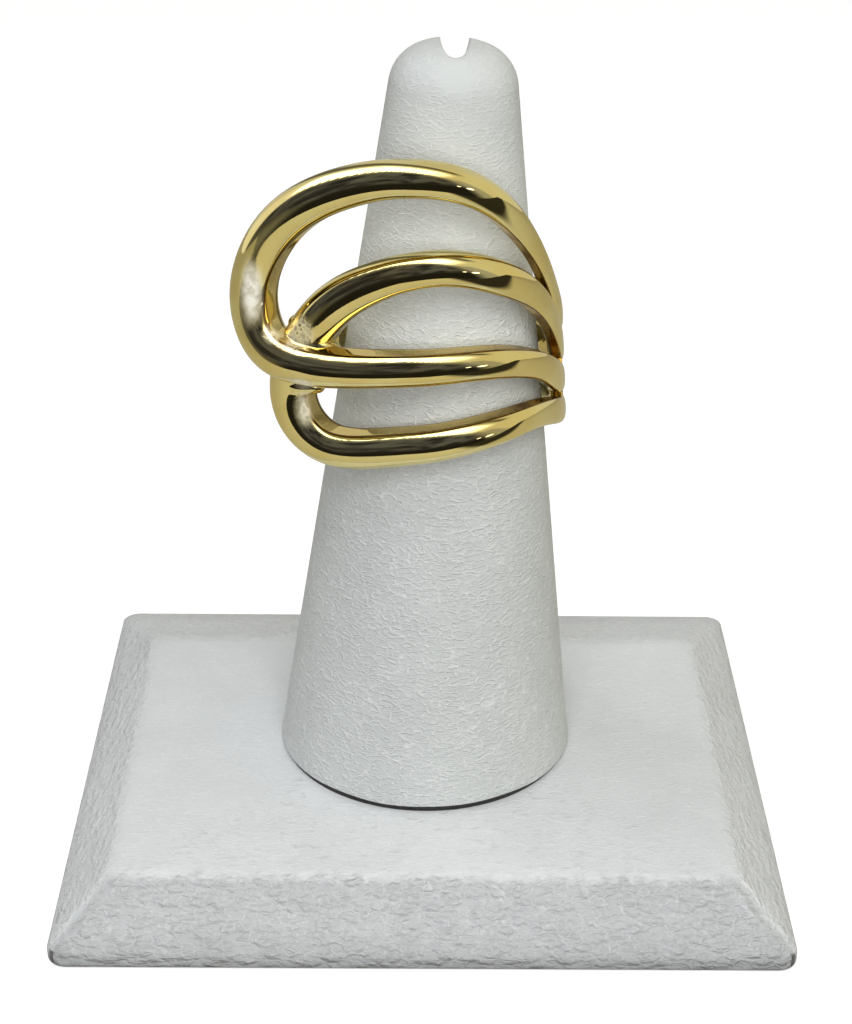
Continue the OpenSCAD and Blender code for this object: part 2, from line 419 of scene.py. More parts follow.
def sweptBarTree():
    tree, given, result = grouped("sweptBar", "GeometryNodeTree", [
        ("Path", "Geometry"), ("Sides", "Int"), ("Flattening", "Float"), ("Wall Turn", "Float"),
        ("Wall Reach", "Float"), ("Finish", "Material")], [("Bar", "Geometry")])
    path = given["Path"]

    # a grid with one row for each point of the path, wound until its last side meets its first
    rows = put(tree, "GeometryNodeAttributeDomainSize", {0: path}, component="MESH").outputs["Point Count"]
    across = plus(given["Sides"], 1.0)
    grid = put(tree, "GeometryNodeMeshGrid", {"Vertices X": rows, "Vertices Y": across}).outputs["Mesh"]
    index = tree.nodes.new("GeometryNodeInputIndex").outputs[0]
    row = maths("FLOOR", maths("DIVIDE", plus(index, 0.5), across))
    step = minus(index, times(row, across))
    turn = times(maths("DIVIDE", step, given["Sides"]), 2 * math.pi)

    def sampled(source, kind):
        return put(tree, "GeometryNodeSampleIndex", {0: path, 1: source, 2: row},
                   data_type=kind, domain="POINT").outputs[0]

    def carried(label, kind="FLOAT"):
        named = put(tree, "GeometryNodeInputNamedAttribute", {"Name": label}, data_type=kind).outputs[0]
        return sampled(named, kind)

    power = spared(carried("square"), given["Flattening"])
    # the side that faces the loop's own opening is cut flat
    inner = carried("inner")
    towardsWall = maths("COSINE", minus(turn, given["Wall Turn"]))
    kept = put(tree, "ShaderNodeMix", {0: inner, 2: 1.0, 3: given["Wall Reach"]}, data_type="FLOAT")
    ahead = maths("MAXIMUM", towardsWall, 0.01)  # so that nothing is divided by zero
    kept = maths("DIVIDE", kept.outputs[0], ahead)
    kept = maths("MINIMUM", 1.0, kept)
    place = sampled(tree.nodes.new("GeometryNodeInputPosition").outputs[0], "FLOAT_VECTOR")
    for label, size, wave in (("side", "wide", "COSINE"), ("out", "deep", "SINE")):
        value = maths(wave, turn)
        softened = times(maths("SIGN", value), maths("POWER", maths("ABSOLUTE", value), power))
        reach = times(carried(size), softened, kept, 0.5)
        place = vectorMaths("ADD", place, scaled(carried(label, "FLOAT_VECTOR"), reach))

    shaped = put(tree, "GeometryNodeSetPosition", {0: grid, 2: place}).outputs[0]
    walled = put(tree, "GeometryNodeStoreNamedAttribute", {
        "Geometry": shaped, "Name": "wall", "Value": times(towardsWall, inner)},
        data_type="FLOAT", domain="POINT").outputs[0]
    sewn = put(tree, "GeometryNodeMergeByDistance",
               {0: walled, "Distance": ringSettings["sewn"] * mm}).outputs[0]
    smooth = put(tree, "GeometryNodeSetShadeSmooth", {0: sewn}).outputs[0]
    real = put(tree, "GeometryNodeRealizeInstances", {0: smooth}).outputs[0]
    finished = put(tree, "GeometryNodeSetMaterial", {0: real, 2: given["Finish"]}).outputs[0]
    tree.links.new(finished, result["Bar"])
    return tree


def sweptBar(path, tree, finish):
    s = ringSettings
    values = {"Sides": s["sides"], "Flattening": s["flattening"], "Wall Turn": math.radians(s["wallTurn"]),
              "Wall Reach": s["wallReach"], "Finish": finish}
    modifier = path.modifiers.new("sweptBar", "NODES")
    modifier.node_group = tree
    for socket in tree.interface.items_tree:
        if socket.in_out == "INPUT" and socket.name in values:
            modifier[socket.identifier] = values[socket.name]
    return facesOutwards(settleMesh(path))


def buildBar(name, table, inner, tree, finish):
    along, up, under, wide, deep, square = smoothRows(table)
    middles = laid(along, up, under + deep / 2)
    return sweptBar(barPath(name, middles, outwardOf(facing(along)), wide, deep, square, inner), tree, finish)


def buildSolder(name, table, tree, finish):
    s = ringSettings
    along, up, out, radius = smoothRows(table)
    middles = laid(along, up, out)
    # round ends past the first and last bead
    turns = np.linspace(0, math.pi / 2, s["capRows"] + 2)[1:-1]
    rising, falling = np.sin(turns), np.cos(turns)
    first = unit(middles[0] - middles[1]) * radius[0] * s["capReach"] * falling[:, None]
    last = unit(middles[-1] - middles[-2]) * radius[-1] * s["capReach"] * rising[:, None]
    middles = np.vstack([middles[0] + first, middles, middles[-1] + last])
    radius = np.concatenate([radius[0] * rising, radius, radius[-1] * falling])
    along = np.concatenate([np.full(s["capRows"], along[0]), along, np.full(s["capRows"], along[-1])])
    return sweptBar(barPath(name, middles, outwardOf(facing(along)), 2 * radius, 2 * radius, 0 * radius, 0.0),
                    tree, finish)


def splitWideFaces(mesh):
    # the many-sided faces that the union leaves become triangles
    shape = bmesh.new()
    shape.from_mesh(mesh)
    bmesh.ops.dissolve_degenerate(shape, dist=ringSettings["sliver"] * mm, edges=shape.edges)
    bmesh.ops.triangulate(shape, faces=[face for face in shape.faces if len(face.verts) > 4])
    shape.to_mesh(mesh)
    shape.free()


def softenJoint(mesh):
    # rounds the creases where the loops are fused, as if they had run together
    s = ringSettings
    points = pointsOf(mesh)
    away = np.min([np.linalg.norm(points - np.array(place), axis=1) for place in s["jointPlaces"]], axis=0)
    share = np.clip((s["jointFaded"] - away) / (s["jointFaded"] - s["jointFull"]), 0, 1)[:, None]
    edges = np.empty(len(mesh.edges) * 2, dtype=np.int64)
    mesh.edges.foreach_get("vertices", edges)
    first, second = edges.reshape(-1, 2).T
    count = np.bincount(edges, minlength=len(points))[:, None]
    for _ in range(s["jointRounds"]):
        total = np.zeros_like(points)
        np.add.at(total, first, points[second])
        np.add.at(total, second, points[first])
        points += (total / count - points) * share * s["jointShare"]
    mesh.vertices.foreach_set("co", (points * mm).ravel())
    mesh.update()


def buildRing(finish):
    tree = sweptBarTree()
    ring = buildBar("bigLoop", bigLoop, 1.0, tree, finish)
    others = [
        buildBar("smallLoop", smallLoop, 1.0, tree, finish),
        buildBar("shank", shank, 0.0, tree, finish),
        buildSolder("upperSolder", upperSolder, tree, finish),
        buildSolder("lowerSolder", lowerSolder, tree, finish),
    ]
    ring.name = "interlacedRing"
    for part in others:
        modifier = ring.modifiers.new("join", "BOOLEAN")
        modifier.operation = "UNION"
        modifier.solver = "MANIFOLD"
        modifier.object = part
    settleMesh(ring)
    for part in others:
        bpy.data.objects.remove(part)
    splitWideFaces(ring.data)
    softenJoint(ring.data)
    ring.data.set_sharp_from_angle(angle=math.radians(ringSettings["sharpAngle"]))
    return ring


# Finger: a cone with a rounded tip and a slit that falls towards the back

fingerSettings = {
    "footRadius": 13.4, "tipRadius": 5.3, "length": 65.6, "tipRound": 3.6, "sides": 224,
    # rows of the wall below, of the finer wall over its last length, of the shoulder and of the tip
    "wallRows": 60, "fineRows": 45, "fineLength": 7.0, "shoulderRows": 40, "tipRows": 16, "poleRadius": 0.08,
    "slitWidth": 2.4, "slitDepth": 1.4, "slitFall": 20.0, "slitSoftness": 0.64, "slitReach": 9.0,
    # the slit's wall: share of the half width, and height over the bottom; and its steepness outside
    "slitSection": [(0.0, 0.0), (0.35, 0.08), (0.62, 0.35), (0.82, 0.85), (1.0, 1.8), (1.05, 9.0)],
    "slitFlare": 60.0,
    # the cover's lower edge over its small recess
    "footRound": 0.1, "footRows": 7, "footRecess": 0.22, "footStep": 0.02, "footLift": 0.08,
    # it opens towards the front: widest gap, how far round, height over which it fades
    "footGap": 0.48, "gapSpread": 0.7, "gapHeight": 5.0,
    # and unevenly: depth, count and phase of its waves
    "gapWaves": [(0.1, 5, 0.8), (0.06, 11, 0.0)],
}


def fingerProfile():
    # radius and height of every row, from the foot to the middle of the tip
    s = fingerSettings
    foot, tip, rounded, length = s["footRadius"], s["tipRadius"], s["tipRound"], s["length"]
    taper = math.atan((foot - tip) / (length - rounded))
    rows = [(foot - s["footRecess"], 0.0), (foot - s["footRecess"] + s["footStep"], s["footLift"])]
    for a in np.radians(np.linspace(-90, 0, s["footRows"])):
        rows.append((foot - s["footRound"] * (1 - math.cos(a)),
                     s["footLift"] + s["footRound"] * (1 + math.sin(a))))
    # closer rows near the tip, where the slit is
    wallEnd = length - rounded * (1 - math.sin(taper))
    fineStart = wallEnd - s["fineLength"]
    heights = np.concatenate([np.linspace(rows[-1][1], fineStart, s["wallRows"])[1:],
                              np.linspace(fineStart, wallEnd, s["fineRows"])[1:]])
    rows += [(foot + (tip - foot) * h / wallEnd, h) for h in heights]
    flat = tip - rounded * math.cos(taper)
    for a in np.linspace(taper, math.pi / 2, s["shoulderRows"])[1:]:
        rows.append((flat + rounded * math.cos(a), length - rounded * (1 - math.sin(a))))
    rows += [(r, length) for r in np.linspace(flat, s["poleRadius"], s["tipRows"])[1:]]
    return np.array(rows)


def slitSurface(x, y):
    # height of the slit's bottom and walls over each place
    s = fingerSettings
    shares, rises = np.array(s["slitSection"]).T
    halves = shares * s["slitWidth"] / 2
    wall = np.interp(np.abs(x), halves, rises) + np.maximum(np.abs(x) - halves[-1], 0) * s["slitFlare"]
    fall = math.radians(s["slitFall"])
    return s["length"] - s["slitDepth"] - y * math.tan(fall) + wall / math.cos(fall)


def buildFinger(finish):
    s = fingerSettings
    profile = fingerProfile()
    turns = np.linspace(0, 2 * math.pi, s["sides"], endpoint=False)
    radius, height = profile[:, :1], profile[:, 1:]
    x, y = radius * np.cos(turns), radius * np.sin(turns)
    z = np.repeat(height, s["sides"], axis=1)
    # the foot is level on the board, and its cover opens towards the front
    opening = np.clip(-np.sin(turns), 0, 1) ** s["gapSpread"]
    for depth, count, phase in s["gapWaves"]:
        opening = opening + depth * np.sin(count * turns + phase)
    gap = np.maximum(s["footGap"] * opening, 0) * (z > 0) + x * math.tan(math.radians(stance["lean"]))
    z = z + np.clip(1 - z / s["gapHeight"], 0, 1) * gap
    # the lower of the cone and the slit, with a soft edge
    cut, soft = slitSurface(x, y), s["slitSoftness"]
    blend = np.clip(0.5 + 0.5 * (cut - z) / soft, 0, 1)
    lowered = cut + (z - cut) * blend - soft * blend * (1 - blend) * 0.5
    z = np.where(z > s["length"] - s["slitReach"], np.minimum(z, lowered), z)
    return gridPiece("leaningFinger", onFinger(np.stack([x, y, z], axis=-1)), finish)


# Base plate: a board with a rounded rim, three steep bevels and a shallow one at the back

baseSettings = {
    "width": 63.5, "depth": 57.5, "rim": 1.5, "rise": 4.6, "run": 5.0, "backRun": 13.0,
    "corner": 1.6, "cornerSteps": 10, "sideSteps": 60,
    # radius and rows of the round under the rim, over it, and at the top of the bevels
    "rimRound": (0.5, 8), "bendRound": (0.35, 6), "topRound": (0.9, 10), "bevelRows": 10,
    # how far in the rings of points lie, under the board and on its flat
    "underInsets": (6.0, 3.0), "flatInsets": (7.5, 12.0, 18.0, 23.0), "backFollow": 0.9,
}


def outlineAt(inset, backInset, height):
    # counter-clockwise from the front right corner, the same count of points at every size
    s = baseSettings
    radius = s["corner"]
    side = s["width"] / 2 - inset - radius
    front, back = -s["depth"] / 2 + inset + radius, s["depth"] / 2 - backInset - radius
    corners = []
    for x, y, start in ((side, front, -90), (side, back, 0), (-side, back, 90), (-side, front, 180)):
        turns = np.radians(np.linspace(start, start + 90, s["cornerSteps"]))
        corners.append(np.stack([x + radius * np.cos(turns), y + radius * np.sin(turns),
                                 np.full_like(turns, height)], axis=-1))
    points = []
    for k, corner in enumerate(corners):
        following = corners[(k + 1) % len(corners)]
        points += [corner, np.linspace(corner[-1], following[0], s["sideSteps"])[1:-1]]
    return np.vstack(points)


def softCorner(before, corner, after, radius, steps):
    # a round that joins two straight runs of a profile
    before, corner, after = (np.array(p, dtype=float) for p in (before, corner, after))
    a, b = unit(before - corner), unit(after - corner)
    start, end = corner + a * radius, corner + b * radius
    t = np.linspace(0, 1, steps)[:, None]
    return (1 - t) ** 2 * start + 2 * t * (1 - t) * corner + t ** 2 * end


def buildBase(finish):
    s = baseSettings
    top = s["rim"] + s["rise"]
    foot, lip, crest = (0.0, 0.0), (0.0, s["rim"]), (s["run"], top)
    # how far in, and height
    under = softCorner((1.0, 0.0), foot, lip, *s["rimRound"])
    bend = softCorner(foot, lip, crest, *s["bendRound"])
    edge = softCorner(lip, crest, (s["run"] + 1.0, top), *s["topRound"])
    bevel = np.linspace(bend[-1], edge[0], s["bevelRows"] + 2)[1:-1]
    rings = [outlineAt(inset, inset, 0.0) for inset in s["underInsets"]]
    for inset, height in np.vstack([under, bend, bevel, edge]):
        backInset = inset
        if height > s["rim"]:
            backInset = min(inset / s["run"], 1) * s["backRun"] + max(inset - s["run"], 0)
        rings.append(outlineAt(inset, backInset, height))
    for inset in s["flatInsets"]:
        rings.append(outlineAt(inset, s["backRun"] + (inset - s["run"]) * s["backFollow"], top))
    return gridPiece("bevelledBase", np.array(rings), finish)


# Leather: the grain of the cover, for the finger and the base plate

grainLook = {
    # a small warp, so that no line is straight: scale, detail and reach
    "warp": (900.0, 2.0, 0.4),
    # coarse pebbles, and finer ones between them: height, size and width of the lines round them
    "lines": [(0.8, 1.0, 0.15), (0.4, 1.8, 0.17)],
    # where those lines break off: scale, detail and fade
    "breakScale": 1.3, "breakDetail": 1.0, "breakFade": (0.3, 0.62),
    "fineScale": 3.0, "fineDetail": 2.0, "fineShare": 0.3,
    # the slow change of tone: scale and detail
    "mottle": (160.0, 4.0),
}


def leatherGrainTree():
    s = grainLook
    tree, given, result = grouped("leatherGrain", "ShaderNodeTree", [
        ("Place", "Vector"), ("Cells", "Float"), ("Stretch", "Vector"), ("Strength", "Float")],
        [("Height", "Float"), ("Ridges", "Float"), ("Mottle", "Float")])
    plain, cells, strength = given["Place"], given["Cells"], given["Strength"]
    place = vectorMaths("MULTIPLY", warped(plain, plain, *s["warp"]), given["Stretch"])
    ridge = 0.0
    for gain, size, width in s["lines"]:
        edge = put(tree, "ShaderNodeTexVoronoi", {"Vector": place, "Scale": times(cells, size)},
                   feature="DISTANCE_TO_EDGE").outputs["Distance"]
        broken = noise(place, times(cells, s["breakScale"] * size), s["breakDetail"])
        line = times(spread(edge, 0.0, width, gain, 0.0), spread(broken, *s["breakFade"]))
        ridge = plus(ridge, line)
    fine = noise(place, times(cells, s["fineScale"]), s["fineDetail"])
    height = plus(ridge, times(fine, s["fineShare"]))
    tree.links.new(times(height, strength), result["Height"])
    tree.links.new(times(ridge, strength), result["Ridges"])
    tree.links.new(noise(plain, *s["mottle"]), result["Mottle"])
    return tree


def grained(tree, grainTree, place, strength, look):
    # the relief, plain tone, shade and roughness of a cover
    grain = put(tree, "ShaderNodeGroup", {"Place": place, "Cells": look["cells"], "Stretch": look["stretch"],
                                          "Strength": strength}, node_tree=grainTree).outputs
    tone = mixed(grain["Ridges"], rgb(look["valley"]), rgb(look["ridge"]))
    shade = spread(grain["Mottle"], *noiseRange, *look["mottle"], "LINEAR")
    roughness = spread(grain["Ridges"], 0.0, 1.0, *look["roughness"], "LINEAR")
    return grain["Height"], tone, shade, roughness


fingerLook = {
    "valley": (206, 210, 209), "ridge": (226, 228, 227), "seamShadeTone": (58, 56, 54), "mottle": (0.95, 1.03),
    "cells": 1000.0, "stretch": (1.0, 1.0, 2.1), "roughness": (0.62, 0.48), "relief": 0.1, "reliefShare": 0.8,
    # heights over which the grain fades, and what is left of it at the tip
    "grainFade": (45.0, 68.0), "tipGrain": 0.45,
    # the worn spot: place on the finger, faded and full distance, loss of grain, shade
    "wornPlace": (0.0, -4.4, 63.9), "wornFade": (2.1, 0.6), "wornLoss": 0.9, "wornShade": 1.04,
    # painted shade and light: heights over which the lower part and the tip change, and their shades under
    # and over them
    "lowShadeFade": (38.0, 52.0), "lowPaintedShade": (0.89, 1.06), "tipShadeFade": (56.0, 66.0), "tipPaintedShade": (1.0, 0.84),
    # where the painted shade in the foot's open seam starts: against the foot's radius, and over the board
    "seamShadeInside": (-0.15, -0.2), "seamShadeHeight": (0.6, 0.4),
}


def fingerFinish(grainTree):
    s = fingerLook
    material, tree, surface, place = newMaterial("fingerLeather")
    height = axesOf(place)[2]
    # worn smooth in front of the slit
    worn = measured("DISTANCE", place, metres(onFinger(np.array(s["wornPlace"]))))
    worn = fade(worn, s["wornFade"])
    strength = times(fade(height, s["grainFade"], 1.0, s["tipGrain"]), spared(worn, s["wornLoss"]))
    relief, tone, shade, roughness = grained(tree, grainTree, place, strength, s)
    # painted shade and light: darker lower down and at the tip, lighter between them, for how the light falls
    shade = times(shade,
                  fade(height, s["lowShadeFade"], *s["lowPaintedShade"]),
                  fade(height, s["tipShadeFade"], *s["tipPaintedShade"]),
                  spread(worn, 0.0, 1.0, 1.0, s["wornShade"]))
    tone = toned(tone, shade)
    # painted shade in the open seam under the cover's edge, where the recess lies in shadow
    footX, footY, footZ = stance["foot"]
    level = vectorMaths("SUBTRACT", place, metres((footX, footY, 0.0)))
    fromMiddle = measured("LENGTH", vectorMaths("MULTIPLY", level, (1.0, 1.0, 0.0)))
    seamShade = times(fade(fromMiddle, [fingerSettings["footRadius"] + v for v in s["seamShadeInside"]]),
                 fade(height, [footZ + v for v in s["seamShadeHeight"]]))
    tone = mixed(seamShade, tone, rgb(s["seamShadeTone"]))
    dressed(tree, surface, tone, roughness, relief, s)
    return material


baseLook = {
    "valley": (204, 207, 209), "ridge": (222, 224, 226), "mottle": (0.96, 1.03),
    "cells": 880.0, "stretch": (1.0, 2.0, 2.0), "roughness": (0.6, 0.48), "relief": 0.19, "reliefShare": 0.85,
    # an unevenness for every edge between two areas: scale and detail
    "uneven": (1100.0, 2.0),
    # the smoother flat: heights over which it starts, how far they wander, loss of grain
    "flatFade": (5.5, 6.08), "flatWander": (-0.2, 0.05), "flatLoss": 0.7,
    # painted shade on the rim, and on the foot of the bevels over it: heights and shade
    "rimFade": (0.0, 1.3), "rimPaintedShade": 0.78, "footFade": (1.0, 3.4), "bevelFootPaintedShade": 0.86,
    # painted shade on the front bevel, which faces the light: fade across its corner folds, how far those
    # wander, how much darker
    "frontShadeFade": (-1.2, 0.5), "foldWander": (-0.25, 0.25), "frontPaintedShade": 0.26,
    # the slot of each front fold, dented and painted dark as shade in its crease: half width, upper end,
    # inner end, how much darker, depth
    "slotHalf": (0.45, 0.22), "slotTop": (1.6, 1.2), "slotEnd": (1.8, 1.2), "slotPaintedShade": 0.6, "slotDepth": 2.0,
    # ripples: stretch on the side bevels and on the front one, the change between them, strength on the sides
    "sideStretch": (1.3, 0.6, 1.3), "frontStretch": (0.6, 1.3, 1.3),
    "stretchFade": (-0.2, 0.2), "sideShare": 0.5,
    # their scale and detail, the part of the noise that shows, and its share
    "ripple": (800.0, 3.0), "rippleFade": (0.44, 0.6), "rippleShare": 0.5,
    # domes between them: warp as for the grain, scale, and the part and height of each dome
    "domeWarp": (700.0, 1.0, 1.0), "domeScale": 1000.0, "domeFade": (0.2, 0.7), "domeHeight": 1.2,
    # distance from a fold over which ripples start, and the grain's own share of the relief
    "rippleStart": (0.0, 1.2), "grainShare": 0.5,
}


def baseFinish(grainTree):
    s = baseLook
    material, tree, surface, place = newMaterial("baseLeather")
    x, y, z = axesOf(place)
    uneven = noise(place, *s["uneven"])
    flat = plus(z, spread(uneven, *noiseRange, *metres(s["flatWander"]), "LINEAR"))
    flat = fade(flat, s["flatFade"])
    onBevels = spared(flat)
    strength = spared(flat, s["flatLoss"])
    relief, tone, shade, roughness = grained(tree, grainTree, place, strength, s)
    # distance from the corner folds, rising towards the front bevel
    fromFront = plus(y, baseSettings["depth"] / 2 * mm)
    fromSide = minus(baseSettings["width"] / 2 * mm, maths("ABSOLUTE", x))
    fromFold = plus(minus(fromSide, fromFront),
                    spread(uneven, 0.0, 1.0, *metres(s["foldWander"]), "LINEAR"))
    nearFold = maths("ABSOLUTE", fromFold)
    # painted shade: the front bevel is darkened as far as its corner folds
    frontShadeMask = times(fade(fromFold, s["frontShadeFade"]), onBevels)
    # the slot of the fold at each front corner, dented and painted dark as shade in the crease
    slotDentAndShade = times(fade(nearFold, s["slotHalf"]), fade(z, s["slotTop"]),
                 fade(fromFront, s["slotEnd"]))
    # painted shade on the rim and the foot of the bevels, darker towards the board
    shade = times(shade, fade(z, s["rimFade"], s["rimPaintedShade"]),
                  fade(z, s["footFade"], s["bevelFootPaintedShade"]),
                  spared(frontShadeMask, s["frontPaintedShade"]), spared(slotDentAndShade, s["slotPaintedShade"]))
    tone = toned(tone, shade)
    # ripples and domes along the stretched bevels
    across = put(tree, "ShaderNodeMix", {0: fade(fromFold, s["stretchFade"]),
                                         4: vectorMaths("MULTIPLY", place, s["sideStretch"]),
                                         5: vectorMaths("MULTIPLY", place, s["frontStretch"])},
                 data_type="VECTOR").outputs[1]
    ripple = spread(noise(across, *s["ripple"]), *s["rippleFade"])
    pushed = warped(across, place, *s["domeWarp"])
    dome = put(tree, "ShaderNodeTexVoronoi", {"Vector": pushed, "Scale": s["domeScale"]}).outputs["Distance"]
    ripple = plus(times(ripple, s["rippleShare"]),
                  spread(dome, *s["domeFade"], s["domeHeight"], 0.0))
    ripple = times(ripple, onBevels, fade(fromFold, s["stretchFade"], s["sideShare"]),
                   fade(nearFold, s["rippleStart"]))
    raised = plus(times(relief, s["grainShare"]), ripple)
    raised = minus(raised, times(slotDentAndShade, s["slotDepth"]))
    dressed(tree, surface, tone, roughness, raised, s)
    return material


# Gold: polished, with a satin inner wall at the right, rough cast patches at the crossing with painted
# highlights, and a painted dark reflection line along the wall's edge

goldLook = {
    "face": (234, 220, 156), "warm": (229, 210, 140), "wall": (228, 203, 132), "edgeReflectionLine": (112, 80, 42),
    "satinWall": (214, 184, 118), "brushed": (160, 125, 66),
    # tones of the rough cast metal, of the painted highlight on the smooth patches, and of the pits
    "castAndHighlight": (244, 229, 166), "paintedHighlightTone": (255, 251, 236), "pit": (84, 62, 34),
    "roughness": (0.03, 0.06), "relief": 0.08, "reliefShare": 0.7,
    # slow clouds in the polish: scale, detail, and the part of them that shows in the tone
    "cloud": (260.0, 3.0), "cloudFade": (0.35, 0.65),
    # the flat wall and the painted dark reflection line along its crisp edge, by the share that the bars
    # carry
    "wallFade": (0.9, 0.93), "edgeIn": (0.86, 0.895), "edgeOut": (0.95, 0.92), "edgeShare": 0.9,
    # the satin part of the wall: where it starts from left to right, its streaks, added roughness, relief
    "satinFade": (3.0, 8.0), "streak": (700.0, 4.0), "streakFade": (0.42, 0.6),
    "satinRoughness": 0.2, "satinRelief": 0.2,
    # fine relief everywhere: scale, detail and height
    "fine": (1400.0, 2.0), "fineHeight": 0.03,
    # cast patches, the smooth ones painted as highlights: place, full and faded distance, height share,
    # pitting
    "castAndHighlightPatches": [((-10.6, -10.3, 50.3), 0.5, 1.9, 1.0, 0.85), ((-14.3, -9.1, 53.3), 0.5, 1.4, 0.4, 0.0),
                ((-12.6, -10.0, 50.2), 0.3, 1.2, 1.0, 0.5), ((-10.0, -9.8, 43.3), 0.3, 1.2, 0.6, 0.3),
                ((-10.0, -11.2, 45.5), 0.7, 1.8, 1.0, 0.2)],
    # their blotches: scale, detail, the part that thins a patch, what it leaves, and how much less if pitted
    "blotch": (1500.0, 3.0), "blotchFade": (0.35, 0.55), "blotchLeft": 0.75, "blotchPitted": 0.35,
    "pitFade": (0.56, 0.61), "pitDepth": 0.8, "speckle": (3600.0, 3.0),
    "castRoughness": 0.24, "castRelief": 0.8,
    # how much less metallic a smooth patch is, so that its painted highlight shows bright, and how much of
    # that its pitting takes back
    "paintedHighlightDull": 0.85, "pittedDull": 0.25,
}


def goldFinish():
    s = goldLook
    material, tree, surface, place = newMaterial("polishedGold")
    x = axesOf(place)[0]
    cloudy = noise(place, *s["cloud"])
    tone = mixed(spread(cloudy, *s["cloudFade"]), rgb(s["face"]), rgb(s["warm"]))
    # the flat wall towards a loop's opening, satin at the right, with a painted dark reflection line along
    # its crisp edge
    towardsWall = put(tree, "ShaderNodeAttribute", attribute_name="wall").outputs["Fac"]
    wall = spread(towardsWall, *s["wallFade"])
    satin = times(wall, fade(x, s["satinFade"]))
    edge = times(spread(towardsWall, *s["edgeIn"]), spread(towardsWall, *s["edgeOut"]))
    tone = mixed(wall, tone, rgb(s["wall"]))
    streak = spread(noise(place, *s["streak"]), *s["streakFade"])
    tone = mixed(satin, tone, mixed(streak, rgb(s["satinWall"]), rgb(s["brushed"])))
    # painted reflection: a dark line along the wall's edge
    tone = mixed(times(edge, s["edgeShare"]), tone, rgb(s["edgeReflectionLine"]))
    # rough, speckled cast metal where the loops cross, with painted highlights where a patch is smooth
    castAndHighlight, rough = 0.0, 0.0
    blotch = noise(place, *s["blotch"])
    for middle, full, faded, tall, pitted in s["castAndHighlightPatches"]:
        apart = vectorMaths("SUBTRACT", place, metres(middle))
        away = measured("LENGTH", vectorMaths("MULTIPLY", apart, (1.0, 1.0, tall)))
        left = s["blotchLeft"] - s["blotchPitted"] * pitted
        patch = times(fade(away, (faded, full)), spread(blotch, *s["blotchFade"], left))
        castAndHighlight = maths("MAXIMUM", castAndHighlight, patch)
        rough = maths("MAXIMUM", rough, times(patch, pitted))
    pit = times(spread(blotch, *s["pitFade"]), rough)
    # painted highlight: the smooth patches take a near-white tone, the rough ones a pale one
    tone = mixed(castAndHighlight, tone, mixed(rough, rgb(s["paintedHighlightTone"]), rgb(s["castAndHighlight"])))
    tone = mixed(pit, tone, rgb(s["pit"]))
    added = plus(times(castAndHighlight, s["castRoughness"]), times(satin, s["satinRoughness"]))
    roughness = plus(spread(cloudy, *noiseRange, *s["roughness"]), added)
    worn = plus(times(rough, s["castRelief"]), times(satin, s["satinRelief"]))
    raised = plus(times(noise(place, *s["fine"]), s["fineHeight"]), times(noise(place, *s["speckle"]), worn))
    raised = minus(raised, times(pit, s["pitDepth"]))
    # the patches are made less metallic, so that their pale tone shows as a painted highlight
    dull = minus(s["paintedHighlightDull"], times(rough, s["pittedDull"]))
    tree.links.new(spared(castAndHighlight, dull), surface["Metallic"])
    dressed(tree, surface, tone, roughness, raised, s)
    return material


# Stage: floor, light and camera

stageSettings = {
    "floorSize": 900.0, "floorFront": -80.0, "floorDrop": 0.02,
    "floorTone": (244, 244, 243), "floorMottle": 0.985, "floorGrain": (60.0, 2.0),
    "floorRoughness": 0.9, "floorShine": 0.1,
    # the floor's tones as the leather and the ring meet it, and the painted shade on its part at the front
    # right
    "bounceTone": (176, 175, 172), "mirrorTone": (193, 189, 173), "paintedFloorShade": (40, 38, 35),
    "darkFromX": (22.0, 40.0), "darkFromY": (-20.0, -36.0),
    # what it gives off to the camera alone
    "glow": (0.36, 0.36, 0.385, 1.0),
    # energy, place, size
    "softLights": [(0.19, (0.0, -165.0, 180.0), (120.0, 80.0)), (0.25, (0.0, -240.0, 120.0), (120.0, 80.0)),
                   (0.04, (230.0, -60.0, 120.0), (120.0, 120.0))],
    "softLightAim": (0.0, 0.0, 40.0),
}


def buildFloor():
    s = stageSettings
    left, right = -s["floorSize"] / 2, s["floorSize"] / 2
    front, back, drop = s["floorFront"], s["floorFront"] + s["floorSize"], -s["floorDrop"]
    corners = [metres((x, y, drop)) for x, y in ((left, front), (right, front), (right, back), (left, back))]
    mesh = bpy.data.meshes.new("paleFloor")
    mesh.from_pydata(corners, [], [(0, 1, 2, 3)])
    floor = newObject("paleFloor", mesh)
    material, tree, surface, place = newMaterial("paleFloor")
    light = rgb(s["floorTone"])
    dimmer = (*(s["floorMottle"] * v for v in light[:3]), 1.0)
    tone = mixed(noise(place, *s["floorGrain"]), dimmer, light)
    # the ring and the leather meet a greyer floor than the camera sees, with a painted shade at the front
    # right
    rays = put(tree, "ShaderNodeLightPath").outputs
    seen = rays["Is Camera Ray"]
    x, y, _ = axesOf(place)
    shaded = times(fade(x, s["darkFromX"]), fade(y, s["darkFromY"]))
    bounce = mixed(rays["Is Glossy Ray"], rgb(s["bounceTone"]), rgb(s["mirrorTone"]))
    bounce = mixed(shaded, bounce, rgb(s["paintedFloorShade"]))
    tree.links.new(mixed(seen, bounce, tone), surface["Base Color"])
    tree.links.new(mixed(seen, (0.0, 0.0, 0.0, 1.0), s["glow"]), surface["Emission Color"])
    surface["Emission Strength"].default_value = 1.0
    surface["Roughness"].default_value = s["floorRoughness"]
    surface["Specular IOR Level"].default_value = s["floorShine"]
    mesh.materials.append(material)


